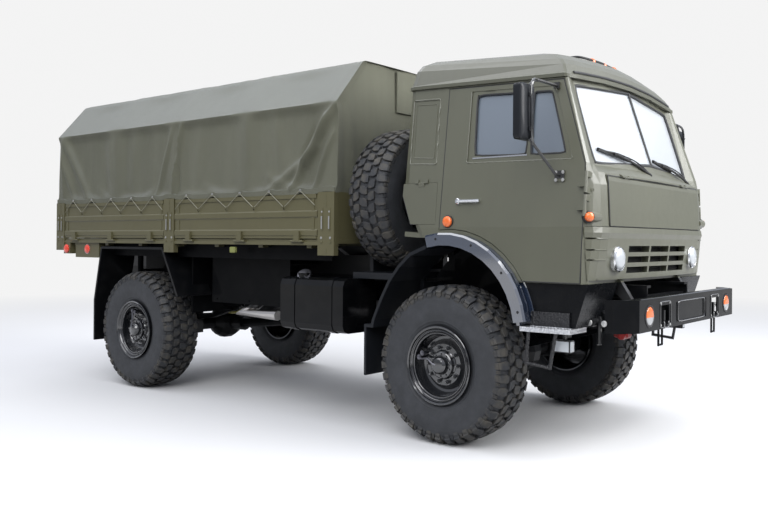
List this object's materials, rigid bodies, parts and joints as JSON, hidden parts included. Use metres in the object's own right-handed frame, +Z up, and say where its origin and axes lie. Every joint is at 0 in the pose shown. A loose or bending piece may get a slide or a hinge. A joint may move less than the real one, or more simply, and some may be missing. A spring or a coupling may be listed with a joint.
{
  "type": "military cargo truck",
  "caption": "All-wheel-drive military cargo truck with a tilting cab over the engine, opening doors, steered front wheels, drop-side cargo body and a stretched tarp on bows",
  "frame": {"origin": "middle of the whole truck in plan, on the ground under its wheels", "axes": "X along the truck with the front at +X, Y across it with its left side at +Y, Z up"},
  "size_m": [7.402, 3.12, 3.256],
  "materials": {
    "cab_paint": "semi-matt grey-olive paint",
    "body_paint": "semi-matt yellow-olive paint",
    "black_paint": "glossy black chassis paint",
    "bright_metal": "plain bright metal",
    "canvas": "heavy grey-olive canvas",
    "tyre_rubber": "dusty black rubber",
    "glass": "clear safety glass",
    "lamp_glass": "clear lamp lens",
    "trim": "dark moulded trim and seat covers"
  },
  "bodies": {
    "chassis": {"frame": "black_paint", "front_bumper": "black_paint", "powertrain": "black_paint", "front_axle": "black_paint", "rear_axle": "black_paint", "fuel_tank": "black_paint", "battery_box": "black_paint", "air_tank": "black_paint", "exhaust": "bright_metal", "front_mudguard_right": "black_paint", "front_mudguard_left": "black_paint", "rear_fender_right": "black_paint", "rear_fender_left": "black_paint", "spare_tyre": "tyre_rubber", "spare_rim": "black_paint", "spare_carrier": "black_paint", "platform": "body_paint", "headboard": "body_paint", "tarp": "canvas", "tarp_bows": "body_paint"},
    "cab": {"cab_body": "cab_paint", "cab_roof": "cab_paint", "windshield": "glass", "grille_panel": "cab_paint", "headlamp_right": "lamp_glass", "headlamp_left": "lamp_glass", "cab_arch_right": "black_paint", "cab_arch_left": "black_paint", "step_right": "bright_metal", "step_left": "bright_metal", "seat_driver": "trim", "seat_passenger": "trim", "dashboard": "trim"},
    "lid": {"front_lid": "cab_paint"},
    "flap_right": {"side_flap_right": "cab_paint"},
    "flap_left": {"side_flap_left": "cab_paint"},
    "door_right_body": {"door_right": "cab_paint", "door_glass_right": "glass"},
    "door_left_body": {"door_left": "cab_paint", "door_glass_left": "glass"},
    "knuckle_right_body": {"knuckle_right": "black_paint"},
    "knuckle_left_body": {"knuckle_left": "black_paint"},
    "tie_rod_body": {"tie_rod": "black_paint"},
    "wheel_front_right": {"tyre_front_right": "tyre_rubber", "rim_front_right": "black_paint"},
    "wheel_front_left": {"tyre_front_left": "tyre_rubber", "rim_front_left": "black_paint"},
    "wheel_rear_right": {"tyre_rear_right": "tyre_rubber", "rim_rear_right": "black_paint"},
    "wheel_rear_left": {"tyre_rear_left": "tyre_rubber", "rim_rear_left": "black_paint"},
    "board_front_right": {"sideboard_front_right": "body_paint"},
    "board_rear_right": {"sideboard_rear_right": "body_paint"},
    "board_front_left": {"sideboard_front_left": "body_paint"},
    "board_rear_left": {"sideboard_rear_left": "body_paint"},
    "gate": {"tailgate": "body_paint"}
  },
  "joints": [
    {"name": "steer_left", "type": "hinge", "parent": "chassis", "child": "knuckle_left_body", "pos_m": [2.106, 0.9, 0.63], "axis": [0, 0, 1], "range_deg": [-28, 28]},
    {"name": "steer_right", "type": "hinge", "parent": "chassis", "child": "knuckle_right_body", "pos_m": [2.106, -0.9, 0.63], "axis": [0, 0, 1], "range_deg": [-28, 28]},
    {"name": "tie_rod_pivot", "type": "hinge", "parent": "knuckle_left_body", "child": "tie_rod_body", "pos_m": [1.836, 0.77, 0.53], "axis": [0, 0, 1], "range_deg": [-33, 33]},
    {"name": "wheel_front_left_spin", "type": "hinge", "parent": "knuckle_left_body", "child": "wheel_front_left", "pos_m": [2.106, 1.035, 0.63], "axis": [0, 1, 0], "continuous": true},
    {"name": "wheel_front_right_spin", "type": "hinge", "parent": "knuckle_right_body", "child": "wheel_front_right", "pos_m": [2.106, -1.035, 0.63], "axis": [0, 1, 0], "continuous": true},
    {"name": "wheel_rear_left_spin", "type": "hinge", "parent": "chassis", "child": "wheel_rear_left", "pos_m": [-2.074, 1.035, 0.63], "axis": [0, 1, 0], "continuous": true},
    {"name": "wheel_rear_right_spin", "type": "hinge", "parent": "chassis", "child": "wheel_rear_right", "pos_m": [-2.074, -1.035, 0.63], "axis": [0, 1, 0], "continuous": true},
    {"name": "cab_tilt", "type": "hinge", "parent": "chassis", "child": "cab", "pos_m": [3.466, 0, 1.14], "axis": [0, 1, 0], "range_deg": [0, 40]},
    {"name": "door_right_hinge", "type": "hinge", "parent": "cab", "child": "door_right_body", "pos_m": [3.346, -1.15485, 2], "axis": [0, 0.1176, 0.9931], "range_deg": [0, 70]},
    {"name": "door_left_hinge", "type": "hinge", "parent": "cab", "child": "door_left_body", "pos_m": [3.346, 1.15485, 2], "axis": [0, 0.1176, -0.9931], "range_deg": [0, 70]},
    {"name": "front_lid_hinge", "type": "hinge", "parent": "cab", "child": "lid", "pos_m": [3.416, 0, 2.103], "axis": [0, -1, 0], "range_deg": [0, 75]},
    {"name": "side_flap_right_hinge", "type": "hinge", "parent": "cab", "child": "flap_right", "pos_m": [1.846, -1.1334, 2.0855], "axis": [-1, 0, 0], "range_deg": [0, 90]},
    {"name": "side_flap_left_hinge", "type": "hinge", "parent": "cab", "child": "flap_left", "pos_m": [1.846, 1.1334, 2.0855], "axis": [1, 0, 0], "range_deg": [0, 90]},
    {"name": "board_front_right_hinge", "type": "hinge", "parent": "chassis", "child": "board_front_right", "pos_m": [-0.289, -1.256, 1.604], "axis": [1, 0, 0], "range_deg": [0, 170]},
    {"name": "board_rear_right_hinge", "type": "hinge", "parent": "chassis", "child": "board_rear_right", "pos_m": [-2.5105, -1.256, 1.604], "axis": [1, 0, 0], "range_deg": [0, 170]},
    {"name": "board_front_left_hinge", "type": "hinge", "parent": "chassis", "child": "board_front_left", "pos_m": [-0.289, 1.256, 1.604], "axis": [-1, 0, 0], "range_deg": [0, 170]},
    {"name": "board_rear_left_hinge", "type": "hinge", "parent": "chassis", "child": "board_rear_left", "pos_m": [-2.5105, 1.256, 1.604], "axis": [-1, 0, 0], "range_deg": [0, 170]},
    {"name": "tailgate_hinge", "type": "hinge", "parent": "chassis", "child": "gate", "pos_m": [-3.69, 0, 1.604], "axis": [0, -1, 0], "range_deg": [0, 170]}
  ],
  "couplings": [
    {"joint": "steer_right", "follows": "steer_left", "ratio": 1},
    {"joint": "tie_rod_pivot", "follows": "steer_left", "ratio": -1.159}
  ]
}
